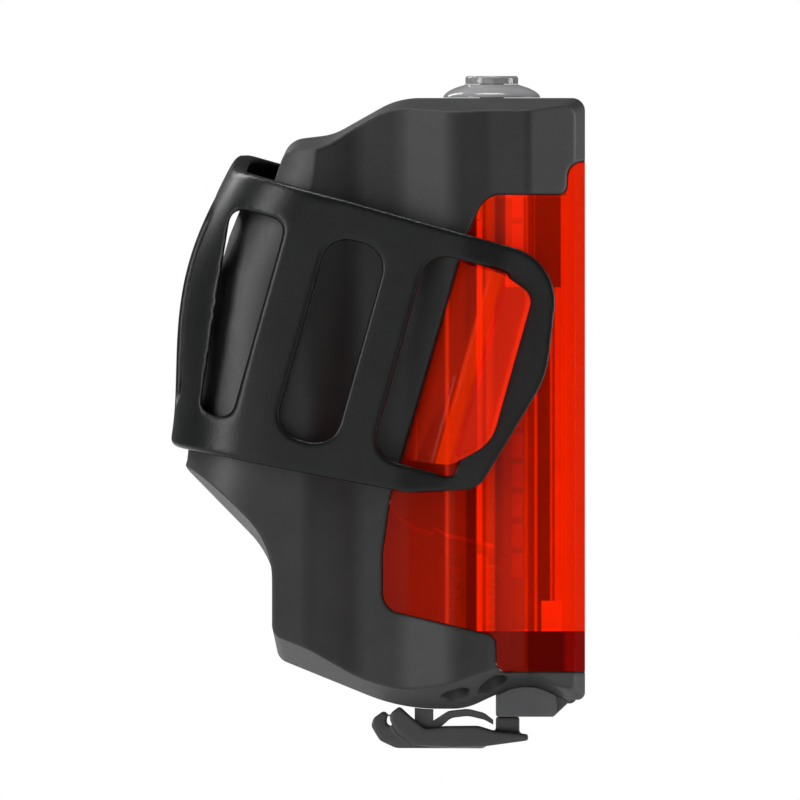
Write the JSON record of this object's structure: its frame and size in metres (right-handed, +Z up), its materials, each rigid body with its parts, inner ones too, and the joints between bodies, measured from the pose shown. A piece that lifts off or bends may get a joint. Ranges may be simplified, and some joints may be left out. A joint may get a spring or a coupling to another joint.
{
  "type": "bicycle rear light",
  "caption": "Strap-on bicycle rear light: waved dark housing, red wrap-round lens, rubber ladder strap over two hooks, seat post cradle, sprung button, hinged port door.",
  "frame": {"origin": "on the centre plane, at the front edge of the light where the post lies in the cradle, at the strap's mid height", "axes": "+X to the rear, along the light's beam; +Y across; +Z up, the post leans 15.7 degrees from it towards +X at the top"},
  "size_m": [0.0518, 0.0384, 0.0841],
  "materials": {
    "housing_plastic": "fine matt",
    "lens_red": "clear gloss",
    "strap_rubber": "matt",
    "pull_rubber": "matt",
    "pad_rubber": "matt",
    "button_clear": "satin",
    "boot_rubber": "satin",
    "guide_plastic": "satin",
    "switch_plastic": "satin",
    "plunger_plastic": "satin",
    "board_green": "satin",
    "screw_steel": "bright",
    "chip_black": "satin",
    "carrier_plastic": "satin",
    "skirt_plastic": "satin",
    "led_body": "gloss",
    "optic_clear": "clear gloss",
    "cell_wrap": "satin",
    "tab_nickel": "satin",
    "port_steel": "satin",
    "door_plastic": "fine matt"
  },
  "bodies": {
    "light": {"housing": "housing_plastic", "lens": "lens_red", "strap": "strap_rubber", "cradle_pad": "pad_rubber", "button_boot": "boot_rubber", "button_guide": "guide_plastic", "tact_switch": "switch_plastic", "switch_board": "board_green", "board_screws": "screw_steel", "board_chips": "chip_black", "inner_carrier": "carrier_plastic", "led_board": "board_green", "rear_leds": "led_body", "side_led_boards": "board_green", "side_leds": "led_body", "rear_optic": "optic_clear", "light_skirts": "skirt_plastic", "optic_baffles": "guide_plastic", "optic_hood": "guide_plastic", "battery_cell": "cell_wrap", "cell_tabs": "tab_nickel", "cell_caps": "guide_plastic", "usb_port": "port_steel", "port_block": "chip_black", "port_board": "board_green", "case_screws": "screw_steel", "door_pin": "screw_steel", "catch_bracket": "door_plastic"},
    "button": {"button_cap": "button_clear"},
    "plunger": {"switch_plunger": "plunger_plastic"},
    "door": {"port_door": "door_plastic", "door_pull": "pull_rubber"}
  },
  "joints": [
    {"name": "button_press", "type": "slide", "parent": "light", "child": "button", "axis": [0, 0, -1], "range_m": [0, 0.0006], "stiffness_N_per_m": 400, "deforming": ["button_boot"]},
    {"name": "plunger_press", "type": "slide", "parent": "light", "child": "plunger", "axis": [0, 0, -1], "range_m": [0, 0.0003]},
    {"name": "door_hinge", "type": "hinge", "parent": "light", "child": "door", "pos_m": [0.0453, 0, -0.047], "axis": [0, -1, 0], "range_deg": [0, 85]}
  ],
  "couplings": [
    {"joint": "plunger_press", "follows": "button_press", "ratio": 0.5}
  ]
}
